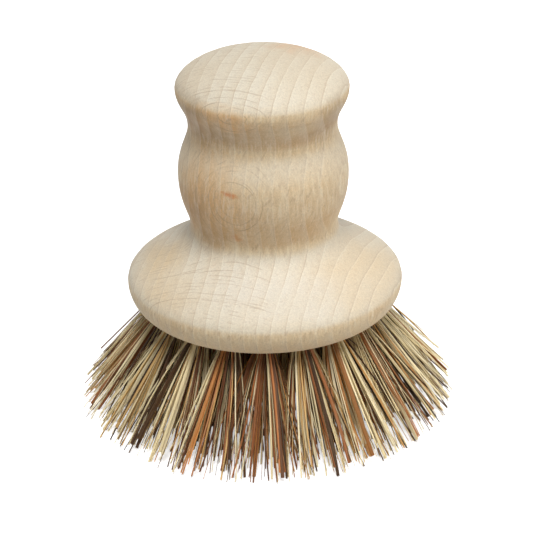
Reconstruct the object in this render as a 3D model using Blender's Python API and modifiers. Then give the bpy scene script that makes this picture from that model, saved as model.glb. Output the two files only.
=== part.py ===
"""Pot brush: a turned beech handle with stiff plant fibre set in its underside.

The handle is one turned block: a domed knob, a neck, a round belly for the fingers, a waist and a wide base.
Its slightly crowned underside is drilled in rings, and every hole points at one fan centre above, so that the
bristles spread. Each hole holds one tuft, a bundle of fibre folded in half, and one flat steel anchor that is
driven in with the tuft, crosses its fold and bites into the wood on both sides.

Metres, +Z up. The origin is on the turning axis, in the plane of the trimmed bristle tips.
"""

import math
import random
from typing import NamedTuple

import bmesh
import bpy
from mathutils import Matrix, Vector
from mathutils.geometry import interpolate_bezier

MM = 0.001

# Heights, from the bristle tips upwards: each is the rise from the station below it.
FIBRE_REACH = 23.7 * MM  # trimmed tips to the middle of the underside
UNDERSIDE_CROWN = 1.0 * MM  # the drilled field's edge above its middle
RIM_RISE = 6.6 * MM  # to the widest circle of the base
WAIST_RISE = 14.3 * MM
BELLY_RISE = 12.6 * MM
NECK_RISE = 11.8 * MM
KNOB_RISE = 9.3 * MM
DOME_RISE = 7.5 * MM

# Radii of the turned handle at those stations.
WAIST_RADIUS = 17.3 * MM
BELLY_RADIUS = 19.9 * MM
NECK_RADIUS = 17.3 * MM
KNOB_RADIUS = 20.1 * MM
RIM_WIDTH = 5.7 * MM  # from the drilled field's edge out to the widest circle

# The drilled field.
INNER_HOLES = 3
MIDDLE_HOLES = 8
OUTER_HOLES = 18
HOLE_RADIUS = 2.6 * MM
HOLE_DEPTH = 8.5 * MM  # along the hole, to where the drill point starts
DRILL_POINT = 0.8 * MM  # height of the cone that the drill leaves
CORE_WEB = 3.4 * MM  # least wood between two holes of the inner ring
RING_WEB = 4.0 * MM  # wood between one ring of holes and the next
FIELD_LAND = 0.8 * MM  # wood between the outer holes and the edge of the field
FAN_HEIGHT = 41.0 * MM  # the fan centre above the middle of the underside

# The anchors: flat steel wire, cut to length.
ANCHOR_THICKNESS = 0.5 * MM
ANCHOR_WIDTH = 2.0 * MM
ANCHOR_BITE = 0.4 * MM  # how far each end sits in the wood
ANCHOR_CHAMFER = 0.4 * MM

# The tufts.
SEAT_GAP = 0.3 * MM  # between a piece and the piece that holds it
FOLD_THICKNESS = 1.0 * MM  # fibre between the anchor and the bottom of the hole
FOLD_ROUNDING = 0.9 * MM
ROOT_TURN = math.radians(20)  # how far a root's strands are turned about it, at most
ROOT_EDGE = 0.1 * MM  # between a root's outermost strands and its side
STRAND_ROOT_RADIUS = 0.38 * MM
STRAND_TIP_RADIUS = 0.55 * MM
STRAND_PITCH = 1.14 * MM  # between strands round a ring of a tuft's root
STRAND_RING_STEP = 0.9 * MM  # between the rings of strands in a root
STRAND_SINK = 1.2 * MM  # length of each strand inside its root
TIP_WANDER = 0.45 * MM  # how far a tip strays from its even place
TRIM_SPREAD = 3.5 * MM  # the shortest strands end this far above the tips
TRIM_LEAST = 0.35 * MM  # and those that miss the trimming plane at least this far
TRIMMED_SHARE = 0.55  # share of the strands that reach the trimming plane

# Facets, and how near two points are taken to be one.
SAME_POINT = 0.01 * MM
TURNED_SEGMENTS = 48
STRETCH_POINTS = 6
HOLE_SEGMENTS = 12
ROOT_SEGMENTS = 8
STRAND_SIDES = 4

# Fullness of the turned outline at each station: the handle's length as a share of the rise beside it.
DOME_FULLNESS = (0.69, 0.40)
KNOB_FULLNESS = (0.37, 0.49)
NECK_FULLNESS = (0.30, 0.51)
BELLY_FULLNESS = (0.56, 0.24)
WAIST_FULLNESS = (0.52, 0.36)
RIM_FULLNESS = (0.65, 0.46)

# What follows from those sizes.
RING_COUNTS = {"inner": INNER_HOLES, "middle": MIDDLE_HOLES, "outer": OUTER_HOLES}
FIELD_EDGE_HEIGHT = FIBRE_REACH + UNDERSIDE_CROWN
RIM_HEIGHT = FIELD_EDGE_HEIGHT + RIM_RISE
WAIST_HEIGHT = RIM_HEIGHT + WAIST_RISE
BELLY_HEIGHT = WAIST_HEIGHT + BELLY_RISE
NECK_HEIGHT = BELLY_HEIGHT + NECK_RISE
KNOB_HEIGHT = NECK_HEIGHT + KNOB_RISE
TOP_HEIGHT = KNOB_HEIGHT + DOME_RISE

RING_STEP = 2 * HOLE_RADIUS + RING_WEB
INNER_RING_RADIUS = (HOLE_RADIUS + CORE_WEB / 2) / math.sin(math.pi / INNER_HOLES)
RING_RADII = {name: INNER_RING_RADIUS + step * RING_STEP for step, name in enumerate(RING_COUNTS)}
FIELD_RADIUS = RING_RADII["outer"] + HOLE_RADIUS + FIELD_LAND
RIM_RADIUS = FIELD_RADIUS + RIM_WIDTH

FAN_CENTRE = Vector((0, 0, FIBRE_REACH + FAN_HEIGHT))
FAN_SPREAD = FAN_CENTRE.z / (FAN_CENTRE.z - FIELD_EDGE_HEIGHT)

ROOT_RADIUS = HOLE_RADIUS - SEAT_GAP
ROOT_LENGTH = HOLE_DEPTH - SEAT_GAP
ANCHOR_LENGTH = 2 * (HOLE_RADIUS + ANCHOR_BITE)
ANCHOR_DEPTH = ROOT_LENGTH - FOLD_THICKNESS - SEAT_GAP - ANCHOR_WIDTH / 2

ROOT_CELL = ROOT_RADIUS * math.cos(math.pi / ROOT_SEGMENTS) - ROOT_EDGE - STRAND_ROOT_RADIUS
TIP_MARGIN = STRAND_TIP_RADIUS + TIP_WANDER + SEAT_GAP / 2


class Hole(NamedTuple):
    """A drilled hole. Its frame is in its mouth's middle: X across the ring, Y along it, Z into the wood."""

    name: str
    frame: Matrix
    half_pitch: float  # half the angle from this hole to the next of its ring


def clear_scene():
    """Starts from nothing, so that the script can be run again in an open file."""
    for old in list(bpy.data.objects):
        bpy.data.objects.remove(old)


def new_collection(name):
    made = bpy.data.collections.new(name)
    bpy.context.scene.collection.children.link(made)
    return made


def new_material(name, colour, roughness, metallic=0.0):
    made = bpy.data.materials.new(name)
    made.use_nodes = True
    shader = made.node_tree.nodes["Principled BSDF"]
    shader.inputs["Base Color"].default_value = (*colour, 1)
    shader.inputs["Roughness"].default_value = roughness
    shader.inputs["Metallic"].default_value = metallic
    made.diffuse_color = (*colour, 1)
    return made


def new_object(name, shape, collection, material=None):
    """An object from a bmesh, which is used up."""
    mesh = bpy.data.meshes.new(name)
    shape.to_mesh(mesh)
    shape.free()
    if material:
        mesh.materials.append(material)
    made = bpy.data.objects.new(name, mesh)
    collection.objects.link(made)
    return made


def new_helper(name, shape, collection):
    """A solid that only cuts or joins another: it is kept out of renders."""
    made = new_object(name, shape, collection)
    made.hide_render = True
    made.display_type = "WIRE"
    return made


def add_boolean(target, operation, other):
    modifier = target.modifiers.new(other.name, "BOOLEAN")
    modifier.operation = operation
    modifier.solver = "EXACT"
    modifier.object = other


def underside_height(radius):
    """The crowned underside: a shallow bowl, lowest on the axis."""
    return FIBRE_REACH + UNDERSIDE_CROWN * (radius / FIELD_RADIUS) ** 2


def stretch(start, start_pull, end_pull, end):
    """Points of one smooth stretch of the outline, as (radius, height), without its last point."""
    corners = [Vector((radius, 0, height)) for radius, height in (start, start_pull, end_pull, end)]
    return interpolate_bezier(*corners, STRETCH_POINTS + 1)[:-1]


def falling_stretch(upper, lower, fullness):
    """A stretch between two stations where the outline runs straight down, such as a knob and its neck."""
    drop = upper[1] - lower[1]
    start_pull = (upper[0], upper[1] - fullness[0] * drop)
    end_pull = (lower[0], lower[1] + fullness[1] * drop)
    return stretch(upper, start_pull, end_pull, lower)


def handle_outline():
    """The turned outline from the top of the dome, down the outer side, to the middle of the underside."""
    knob = (KNOB_RADIUS, KNOB_HEIGHT)
    neck = (NECK_RADIUS, NECK_HEIGHT)
    belly = (BELLY_RADIUS, BELLY_HEIGHT)
    waist = (WAIST_RADIUS, WAIST_HEIGHT)
    rim = (RIM_RADIUS, RIM_HEIGHT)
    field_edge = (FIELD_RADIUS, FIELD_EDGE_HEIGHT)

    top_pull = (DOME_FULLNESS[0] * KNOB_RADIUS, TOP_HEIGHT)
    knob_pull = (KNOB_RADIUS, KNOB_HEIGHT + DOME_FULLNESS[1] * DOME_RISE)
    rim_pull = (RIM_RADIUS, RIM_HEIGHT - RIM_FULLNESS[0] * RIM_RISE)
    edge_pull = (FIELD_RADIUS + RIM_FULLNESS[1] * RIM_WIDTH, FIELD_EDGE_HEIGHT)

    points = stretch((0, TOP_HEIGHT), top_pull, knob_pull, knob)
    points += falling_stretch(knob, neck, KNOB_FULLNESS)
    points += falling_stretch(neck, belly, NECK_FULLNESS)
    points += falling_stretch(belly, waist, BELLY_FULLNESS)
    points += falling_stretch(waist, rim, WAIST_FULLNESS)
    points += stretch(rim, rim_pull, edge_pull, field_edge)
    for share in (1, 0.55, 0):
        radius = share * FIELD_RADIUS
        points.append(Vector((radius, 0, underside_height(radius))))
    return points


def build_handle(parts, beech):
    """The beech block, turned about Z from its outline."""
    shape = bmesh.new()
    corners = [shape.verts.new(point) for point in handle_outline()]
    for upper, lower in zip(corners, corners[1:]):
        shape.edges.new((upper, lower))
    handle = new_object("beech_handle", shape, parts, beech)
    turning = handle.modifiers.new("Turning", "SCREW")
    turning.axis = "Z"
    turning.steps = TURNED_SEGMENTS
    turning.render_steps = TURNED_SEGMENTS
    turning.use_merge_vertices = True
    turning.merge_threshold = SAME_POINT
    turning.use_smooth_shade = True
    return handle


def list_holes():
    """The holes, ring by ring, each pointing at the fan centre."""
    holes = []
    for ring, count in RING_COUNTS.items():
        radius = RING_RADII[ring]
        for step in range(count):
            turn = 2 * math.pi * (step + 0.5) / count
            outward = Vector((math.cos(turn), math.sin(turn), 0))
            mouth = radius * outward + Vector((0, 0, underside_height(radius)))
            into_wood = (FAN_CENTRE - mouth).normalized()
            along_ring = Vector((-outward.y, outward.x, 0))
            across_ring = along_ring.cross(into_wood)
            frame = Matrix((across_ring, along_ring, into_wood)).transposed().to_4x4()
            frame.translation = mouth
            holes.append(Hole(f"{ring}_{step + 1:02d}", frame, math.pi / count))
    return holes


def add_rod(shape, radius, start, end, segments, frame):
    """A round bar along a frame's Z, from start to end. It returns the bar's vertices."""
    place = frame @ Matrix.Translation((0, 0, (start + end) / 2))
    made = bmesh.ops.create_cone(
        shape,
        cap_ends=True,
        segments=segments,
        radius1=radius,
        radius2=radius,
        depth=end - start,
        matrix=place,
    )
    return made["verts"]


def add_block(shape, length, width, height, frame):
    """A box centred on a frame, with its length along X, width along Y and height along Z."""
    size = Matrix.Diagonal((length, width, height, 1))
    bmesh.ops.create_cube(shape, size=1, matrix=frame @ size)


def slide_to_height(point, direction, height):
    """The point moved along a direction until it is at a height."""
    return point + direction * ((height - point.z) / direction.z)


def add_anchor_room(shape, length, frame):
    """A box round the place of an anchor, with the seat gap on each side of it."""
    place = frame @ Matrix.Translation((0, 0, ANCHOR_DEPTH))
    add_block(shape, length, ANCHOR_THICKNESS + 2 * SEAT_GAP, ANCHOR_WIDTH + 2 * SEAT_GAP, place)


def verts_at(verts, frame, depth):
    """Those of the vertices that lie at one depth along a frame's Z."""
    inverse = frame.inverted()
    return [vert for vert in verts if abs((inverse @ vert.co).z - depth) < SAME_POINT]


def drill_cutter(holes, helpers):
    """All the blind holes: round bars with a drill point, run out past the underside."""
    shape = bmesh.new()
    runout = 2 * HOLE_RADIUS
    for hole in holes:
        bar = add_rod(shape, HOLE_RADIUS, -runout, HOLE_DEPTH, HOLE_SEGMENTS, hole.frame)
        bottom = verts_at(bar, hole.frame, HOLE_DEPTH)
        face = next(face for face in bottom[0].link_faces if all(vert in bottom for vert in face.verts))
        point = bmesh.ops.poke(shape, faces=[face])["verts"]
        bmesh.ops.translate(shape, verts=point, vec=DRILL_POINT * hole.frame.col[2].to_3d())
    return new_helper("drilled_holes", shape, helpers)


def slit_cutter(holes, helpers):
    """The slits that the anchors' ends press into the wood."""
    shape = bmesh.new()
    for hole in holes:
        add_anchor_room(shape, ANCHOR_LENGTH + 2 * SEAT_GAP, hole.frame)
    return new_helper("anchor_slits", shape, helpers)


def build_anchor(hole, parts, steel):
    """One anchor: a flat piece of wire that lies across the ring, with its leading corners chamfered."""
    shape = bmesh.new()
    half, lead = ANCHOR_LENGTH / 2, ANCHOR_WIDTH / 2
    outline = [
        (-half, -lead),
        (half, -lead),
        (half, lead - ANCHOR_CHAMFER),
        (half - ANCHOR_CHAMFER, lead),
        (ANCHOR_CHAMFER - half, lead),
        (-half, lead - ANCHOR_CHAMFER),
    ]
    corners = [shape.verts.new((x, -ANCHOR_THICKNESS / 2, z)) for x, z in outline]
    face = shape.faces.new(corners)
    grown = bmesh.ops.extrude_face_region(shape, geom=[face])["geom"]
    moved = [item for item in grown if isinstance(item, bmesh.types.BMVert)]
    bmesh.ops.translate(shape, verts=moved, vec=(0, ANCHOR_THICKNESS, 0))
    bmesh.ops.recalc_face_normals(shape, faces=shape.faces)
    anchor = new_object(f"anchor_{hole.name}", shape, parts, steel)
    anchor.matrix_world = hole.frame @ Matrix.Translation((0, 0, ANCHOR_DEPTH))


def strand_layout():
    """The strands' places in a root, as (outward, along the ring).

    One is in the middle, with rings round it, and the last points outward.
    """
    places = [Vector((0, 0))]
    rings = max(1, round(ROOT_CELL / STRAND_RING_STEP))
    for ring in range(1, rings + 1):
        radius = ROOT_CELL * ring / rings
        count = int(math.tau * radius / STRAND_PITCH)
        for step in range(count):
            turn = math.tau * (step + 1) / count
            places.append(radius * Vector((math.cos(turn), math.sin(turn))))
    return places


def build_strands(hole, helpers):
    """The free part of a tuft: strands that leave the root side by side and fan out to the trimmed tips.

    The tips share the ground evenly. A tuft's own are spread over an oval between those of its neighbours.
    """
    chance = random.Random(hole.name)
    shape = bmesh.new()
    mouth = hole.frame.translation
    along_ring, into_wood = hole.frame.col[1].to_3d(), hole.frame.col[2].to_3d()
    outward = along_ring.cross(Vector((0, 0, 1)))
    middle_tip = slide_to_height(mouth, into_wood, 0)
    reach_along = middle_tip.xy.length * math.sin(hole.half_pitch) - TIP_MARGIN
    reach_outward = FAN_SPREAD * RING_STEP / 2 - TIP_MARGIN
    turned = Matrix.Rotation(chance.uniform(-ROOT_TURN, ROOT_TURN), 2)
    places = strand_layout()
    for number, place in enumerate(places):
        x, y = turned @ place
        root = slide_to_height(hole.frame @ Vector((x, y, 0)), into_wood, mouth.z)
        tip = middle_tip + (x * reach_outward * outward + y * reach_along * along_ring) / ROOT_CELL
        stray = chance.uniform(0, math.tau)
        tip += chance.uniform(0, TIP_WANDER) * Vector((math.cos(stray), math.sin(stray), 0))
        is_trimmed = number in (0, len(places) - 1) or chance.random() < TRIMMED_SHARE
        end_height = 0 if is_trimmed else chance.uniform(TRIM_LEAST, TRIM_SPREAD)
        end = tip.lerp(root, end_height / root.z)
        start = root + STRAND_SINK * (root - tip).normalized()
        add_strand(shape, start, end, chance.uniform(0, math.pi / 2))
    return new_helper(f"strands_{hole.name}", shape, helpers)


def add_strand(shape, start, end, turn):
    """One strand, cut level at both ends: an upright tapered bar, whose lower end is then moved sideways."""
    length = start.z - end.z
    place = Matrix.Translation((start.x, start.y, end.z + length / 2)) @ Matrix.Rotation(turn, 4, "Z")
    bar = bmesh.ops.create_cone(
        shape,
        cap_ends=True,
        segments=STRAND_SIDES,
        radius1=STRAND_TIP_RADIUS,
        radius2=STRAND_ROOT_RADIUS,
        depth=length,
        matrix=place,
    )["verts"]
    lower = [vert for vert in bar if vert.co.z < end.z + length / 2]
    bmesh.ops.translate(shape, verts=lower, vec=(end.x - start.x, end.y - start.y, 0))
    for vert in lower:
        vert.co.z = end.z


def build_tuft(hole, parts, helpers, fibre):
    """One tuft: its root fills the hole and is rounded at the fold, with an eye for the anchor."""
    shape = bmesh.new()
    root = add_rod(shape, ROOT_RADIUS, 0, ROOT_LENGTH, ROOT_SEGMENTS, hole.frame)
    into_wood = hole.frame.col[2].to_3d()
    for vert in verts_at(root, hole.frame, 0):
        vert.co = slide_to_height(vert.co, into_wood, hole.frame.translation.z)
    fold = verts_at(root, hole.frame, ROOT_LENGTH)
    fold_edges = [edge for edge in shape.edges if all(vert in fold for vert in edge.verts)]
    bmesh.ops.bevel(shape, geom=fold_edges, offset=FOLD_ROUNDING, segments=1, affect="EDGES")
    tuft = new_object(f"tuft_{hole.name}", shape, parts, fibre)

    eye = bmesh.new()
    add_anchor_room(eye, ANCHOR_LENGTH, hole.frame)
    add_boolean(tuft, "DIFFERENCE", new_helper(f"eye_{hole.name}", eye, helpers))
    add_boolean(tuft, "UNION", build_strands(hole, helpers))


def main():
    clear_scene()
    parts = new_collection("pot_brush")
    helpers = new_collection("cutters")
    beech = new_material("beech", (0.74, 0.62, 0.46), 0.62)
    fibre = new_material("plant_fibre", (0.47, 0.35, 0.19), 0.7)
    steel = new_material("anchor_steel", (0.56, 0.56, 0.57), 0.35, metallic=1.0)

    holes = list_holes()
    handle = build_handle(parts, beech)
    add_boolean(handle, "DIFFERENCE", drill_cutter(holes, helpers))
    add_boolean(handle, "DIFFERENCE", slit_cutter(holes, helpers))
    for hole in holes:
        build_anchor(hole, parts, steel)
        build_tuft(hole, parts, helpers, fibre)

    print(f"rim diameter {2 * RIM_RADIUS / MM:.1f} mm, height {TOP_HEIGHT / MM:.1f} mm")
    print(f"{len(holes)} tufts of {len(strand_layout())} strands")


main()
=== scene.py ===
# %% [markdown]
# # A beech pot brush
#
# A pot brush is a turned wooden knob with stiff plant fibre set in its underside. This lesson dresses a
# measured model of one: the handle gets a fine turned surface and the grain of beech, and every tuft gets
# its real bundle of stalks and hairs. The measured model comes first and stays the frame, so each piece is
# made at its true size, in metres, where the model has it.

import math

import bmesh
import bpy
import numpy as np
from mathutils import Matrix, Vector


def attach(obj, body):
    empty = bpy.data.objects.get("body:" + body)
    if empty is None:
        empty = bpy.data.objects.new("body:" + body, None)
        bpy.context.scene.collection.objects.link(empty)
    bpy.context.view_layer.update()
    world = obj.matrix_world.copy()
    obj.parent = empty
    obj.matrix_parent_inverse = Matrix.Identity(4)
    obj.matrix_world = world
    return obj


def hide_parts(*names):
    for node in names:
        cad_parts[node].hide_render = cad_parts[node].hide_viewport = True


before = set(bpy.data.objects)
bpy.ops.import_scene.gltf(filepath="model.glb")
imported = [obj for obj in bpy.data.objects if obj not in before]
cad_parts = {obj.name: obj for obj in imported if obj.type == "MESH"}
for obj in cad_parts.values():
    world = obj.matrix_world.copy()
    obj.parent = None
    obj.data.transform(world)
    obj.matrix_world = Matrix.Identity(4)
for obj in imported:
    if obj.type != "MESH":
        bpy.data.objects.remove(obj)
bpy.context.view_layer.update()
MM = 0.001


# %% [markdown]
# Operators work on whatever is selected, and loading a model leaves its parts selected. So each piece
# starts with a clean selection, and most of these helpers only choose what the next operator works on.
# Faces and edges are chosen by where they are, which is how a script replaces a click.

# %% Selection helpers
def start_clean():
    """Leaves edit mode and deselects every object."""
    if bpy.context.object and bpy.context.object.mode != "OBJECT":
        bpy.ops.object.mode_set(mode="OBJECT")
    bpy.ops.object.select_all(action="DESELECT")


def work_on(piece):
    """Makes one object the selected and active one."""
    start_clean()
    piece.select_set(True)
    bpy.context.view_layer.objects.active = piece


def add_object(name, data):
    """Puts a new object into the scene."""
    piece = bpy.data.objects.new(name, data)
    bpy.context.collection.objects.link(piece)
    return piece


def finish_modifiers(piece):
    """Applies every modifier of a piece, in order."""
    work_on(piece)
    for modifier in list(piece.modifiers):
        bpy.ops.object.modifier_apply(modifier=modifier.name)


# %% [markdown]
# The handle is one block of beech, turned on a lathe and sanded. A turner works to a template: the knob,
# neck, belly, waist and rim are stations on it, and the curve between two stations leaves each of them
# straight along the axis. A Bezier curve says exactly that with one point per station and a handle either
# side, so the outline needs seven points and no more.

# %% The turner's template
# The outline, in millimetres, runs from the top of the dome to the edge of the field of bristles.
TOP = 86.8
DOME_REACH = 13.87
UNDERSIDE_MIDDLE = 23.7
FIELD_RADIUS = 26.77
FIELD_EDGE = 24.7
FIELD_REACH = 2.62
# Each station between them: radius, height, then how far its handle reaches up and down the outline.
STATIONS = {
    "knob": (20.1, 79.3, 3.0, 3.44),
    "neck": (17.3, 70.0, 4.56, 3.54),
    "belly": (19.9, 58.2, 6.02, 7.06),
    "waist": (17.3, 45.6, 3.02, 7.44),
    "rim": (32.47, 31.3, 5.15, 4.29),
}
CURVE_STEPS = 12


def draw_template():
    """The outline as an open Bezier curve in the XZ plane, from the dome's top to the edge of the field."""
    start_clean()
    bpy.ops.curve.primitive_bezier_curve_add(location=(0, 0, 0))
    template = bpy.context.object
    template.name = "turning_template"
    spline = template.data.splines[0]
    stations = [((0, TOP), (0, TOP), (DOME_REACH, TOP))]
    for radius, height, up, down in STATIONS.values():
        stations.append(((radius, height), (radius, height + up), (radius, height - down)))
    field = (FIELD_RADIUS, FIELD_EDGE)
    stations.append((field, (FIELD_RADIUS + FIELD_REACH, FIELD_EDGE), field))
    spline.bezier_points.add(len(stations) - len(spline.bezier_points))
    for point, station in zip(spline.bezier_points, stations):
        point.handle_left_type = point.handle_right_type = "FREE"
        point.co, point.handle_left, point.handle_right = ((x * MM, 0, z * MM) for x, z in station)
    template.data.dimensions = "3D"
    template.data.resolution_u = CURVE_STEPS
    return template


template = draw_template()
print("template stations:", len(template.data.splines[0].bezier_points))


# %% [markdown]
# Turning is what the Spin operator does. The template becomes a chain of edges, the slightly crowned
# underside is added by extruding its last point inwards, and the chain is spun once round the axis. A lathe
# leaves no seam, so the doubled points where the spin closes are merged, and the normals are set outwards
# again, because a spin can turn a shape inside out.

# %% Turn the handle
TURN_STEPS = 128
UNDERSIDE_RINGS = 4
WELD_DISTANCE = 0.02 * MM


def turn_handle(template):
    """Spins the template into a closed solid of revolution."""
    work_on(template)
    bpy.ops.object.convert(target="MESH")
    handle = bpy.context.object
    handle.name = "turned_beech_handle"

    bpy.ops.object.mode_set(mode="EDIT")
    bpy.ops.mesh.select_all(action="DESELECT")
    cage = bmesh.from_edit_mesh(handle.data)
    edge_of_field = min(cage.verts, key=lambda vert: vert.co.z)
    edge_of_field.select = True
    bmesh.update_edit_mesh(handle.data)
    crown = (FIELD_EDGE - UNDERSIDE_MIDDLE) * MM
    for ring in range(UNDERSIDE_RINGS):
        outer = 1 - ring / UNDERSIDE_RINGS
        inner = 1 - (ring + 1) / UNDERSIDE_RINGS
        drop = crown * (inner**2 - outer**2)
        inwards = (inner - outer) * FIELD_RADIUS * MM
        bpy.ops.mesh.extrude_region_move(TRANSFORM_OT_translate={"value": (inwards, 0, drop)})

    bpy.ops.mesh.select_all(action="SELECT")
    bpy.ops.mesh.spin(steps=TURN_STEPS, angle=math.tau, center=(0, 0, 0), axis=(0, 0, 1))
    bpy.ops.mesh.select_all(action="SELECT")
    bpy.ops.mesh.remove_doubles(threshold=WELD_DISTANCE)
    bpy.ops.mesh.normals_make_consistent(inside=False)
    bpy.ops.object.mode_set(mode="OBJECT")
    return handle


handle = turn_handle(template)
print("turned handle:", len(handle.data.polygons), "faces")


# %% [markdown]
# The underside is drilled in three rings, and every hole points at one fan centre above it, so that the
# bristles spread. The places come from the same few sizes that a drilling jig would be set to. A hole is
# kept as a small frame of reference: its origin is in the middle of the mouth, X points across the ring, Y
# along it and Z into the wood. Everything in a tuft is laid out in that frame.

# %% Where the holes are
HOLE_RADIUS = 2.6 * MM
HOLE_DEPTH = 8.5 * MM
DRILL_POINT = 0.8 * MM
FAN_CENTRE = Vector((0, 0, (UNDERSIDE_MIDDLE + 41.0) * MM))
RINGS = {"inner": (3, 4.97), "middle": (8, 14.17), "outer": (18, 23.37)}


def underside_height(radius):
    """The height of the crowned underside at a distance from the axis, all in millimetres."""
    return UNDERSIDE_MIDDLE + (FIELD_EDGE - UNDERSIDE_MIDDLE) * (radius / FIELD_RADIUS) ** 2


def hole_frames():
    """Each hole's name and frame of reference."""
    frames = {}
    for ring, (count, radius) in RINGS.items():
        for step in range(count):
            turn = math.tau * (step + 0.5) / count
            outward = Vector((math.cos(turn), math.sin(turn), 0))
            mouth = radius * MM * outward + Vector((0, 0, underside_height(radius) * MM))
            into_wood = (FAN_CENTRE - mouth).normalized()
            along_ring = Vector((-outward.y, outward.x, 0))
            across_ring = along_ring.cross(into_wood)
            place = Matrix((across_ring, along_ring, into_wood)).transposed().to_4x4()
            place.translation = mouth
            frames[f"{ring}_{step + 1:02d}"] = place
    return frames


holes = hole_frames()
print("holes:", len(holes), "tufts in the model:", sum(name.startswith("tuft_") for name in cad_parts))


# %% [markdown]
# A drill leaves a cylinder with a cone at its end. One drill is modelled, as a cylinder whose end is inset
# nearly to a point and pushed out, and copied to each hole. Joined together the copies make one cutter for
# a Boolean modifier.

# %% Drill the underside
DRILL_SIDES = 24
# By what share of its radius the end is inset.
POINT_INSET = 0.97
SMOOTH_BELOW = math.radians(40)


def model_drill():
    """One drill at the origin, cutting upwards along Z, with some length to spare below the mouth."""
    runout = HOLE_RADIUS * 2
    start_clean()
    bpy.ops.mesh.primitive_cylinder_add(
        vertices=DRILL_SIDES,
        radius=HOLE_RADIUS,
        depth=HOLE_DEPTH + runout,
        location=(0, 0, (HOLE_DEPTH - runout) / 2),
    )
    drill = bpy.context.object
    drill.name = "drill"
    bpy.ops.object.transform_apply(location=True, rotation=True, scale=True)
    bpy.ops.object.mode_set(mode="EDIT")
    bpy.ops.mesh.select_mode(type="FACE")
    bpy.ops.mesh.select_all(action="DESELECT")
    cage = bmesh.from_edit_mesh(drill.data)
    end = max(cage.faces, key=lambda face: face.calc_center_median().z)
    end.select = True
    bmesh.update_edit_mesh(drill.data)
    bpy.ops.mesh.inset(thickness=HOLE_RADIUS * POINT_INSET)
    bpy.ops.transform.translate(value=(0, 0, DRILL_POINT))
    bpy.ops.object.mode_set(mode="OBJECT")
    return drill


def drill_holes(handle, drill):
    """Copies the drill to each hole, joins the copies and cuts them out of the handle."""
    start_clean()
    copies = []
    for place in holes.values():
        copy = add_object("drill", drill.data.copy())
        copy.data.transform(place)
        copies.append(copy)
    for copy in copies:
        copy.select_set(True)
    bpy.context.view_layer.objects.active = copies[0]
    bpy.ops.object.join()
    cutter = bpy.context.object
    cut = handle.modifiers.new("drilled holes", "BOOLEAN")
    cut.operation = "DIFFERENCE"
    cut.solver = "EXACT"
    cut.object = cutter
    finish_modifiers(handle)
    bpy.data.objects.remove(cutter)
    bpy.data.objects.remove(drill)


drill_holes(handle, model_drill())
work_on(handle)
bpy.ops.object.shade_smooth_by_angle(angle=SMOOTH_BELOW)
print("drilled handle:", len(handle.data.polygons), "faces")


# %% [markdown]
# A fibre is a stiff stalk of plant leaf: flat rather than round, cut off square. One stalk is modelled at
# unit size, as a six-sided bar with a ring of points at every place where it may bend. A tuft then flattens
# each copy and bends it along its own path, so the same few faces serve for a broad stalk and a fine hair.

# %% Model one stalk
STALK_SIDES = 6
STALK_RINGS = 8


def model_stalk():
    """A bar of unit radius from z = 0 to z = 1, with evenly spaced rings."""
    start_clean()
    bpy.ops.mesh.primitive_cylinder_add(vertices=STALK_SIDES, radius=1, depth=1, location=(0, 0, 0.5))
    stalk = bpy.context.object
    stalk.name = "stalk"
    bpy.ops.object.transform_apply(location=True, rotation=True, scale=True)
    bpy.ops.object.mode_set(mode="EDIT")
    for ring in range(1, STALK_RINGS - 1):
        bpy.ops.mesh.select_all(action="SELECT")
        height = ring / (STALK_RINGS - 1)
        bpy.ops.mesh.bisect(plane_co=(0, 0, height), plane_no=(0, 0, 1))
    bpy.ops.object.mode_set(mode="OBJECT")
    return stalk


stalk = model_stalk()
stalk_verts = np.array([vert.co for vert in stalk.data.vertices])
stalk_faces = [tuple(face.vertices) for face in stalk.data.polygons]
bpy.data.objects.remove(stalk)
print("one stalk:", len(stalk_verts), "points,", len(stalk_faces), "faces")


# %% [markdown]
# A tuft is a bundle folded in half over a flat steel anchor and driven into its hole. Each half of a stalk
# starts at the fold, runs up beside the anchor, fills the hole, and fans out from the mouth to the trimmed
# tips. The mix is what gives this brush its look: a few stalks up to 1.4 mm broad, many of about half a
# millimetre, and fine hairs between them. Half of the tips are trimmed level with the ground and the rest
# stay short. Those that would stick out past the others all round are cut back as well.

# %% The fibre mix
# Kind: count in a tuft, half width and half thickness, in millimetres.
FIBRE_KINDS = {
    "broad": {"count": 9, "width": (0.40, 0.70), "thickness": (0.18, 0.28)},
    "stalk": {"count": 54, "width": (0.16, 0.31), "thickness": (0.12, 0.18)},
    "hair": {"count": 37, "width": (0.08, 0.14), "thickness": (0.07, 0.11)},
}
# The bundle in its hole, in millimetres. The room is what stalks keep from the anchor.
ROOT_RADIUS = 2.0
ANCHOR_DEPTH = 5.9
ANCHOR_HALF_WIDTH = 1.0
ANCHOR_HALF_THICKNESS = 0.25
ANCHOR_ROOM = 0.25
MOUTH_DEPTH = 0.3
# How far the tips of a tuft reach inwards and outwards from its middle, and how far they scatter.
TIP_REACH = 8.0
TIP_SCATTER = 0.9
# How much further out the tips are on the right than at the front.
RIGHT_REACH = 0.8
# How many times its share of the ring a tuft covers.
TIP_OVERLAP = 1.4
# Tips further out are cut off at a distance drawn between these two.
OUTER_TRIM = (43.6, 45.3)
# The share of stalks that reach the ground, and how far the others stop short, on average and at most.
LEVEL_SHARE = 0.5
SHORTFALL = 2.2
MOST_SHORT = 12
# How far a stalk bows on its way to the ground.
BOW = 0.45


def sunflower(count, chance):
    """Points spread evenly over a disc of radius 1, with a little disorder."""
    golden = math.pi * (3 - math.sqrt(5))
    places = []
    for number in range(count):
        reach = math.sqrt((number + 0.5) / count)
        turn = number * golden + chance.uniform(-0.25, 0.25)
        places.append((reach * math.cos(turn), reach * math.sin(turn)))
    return places


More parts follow.
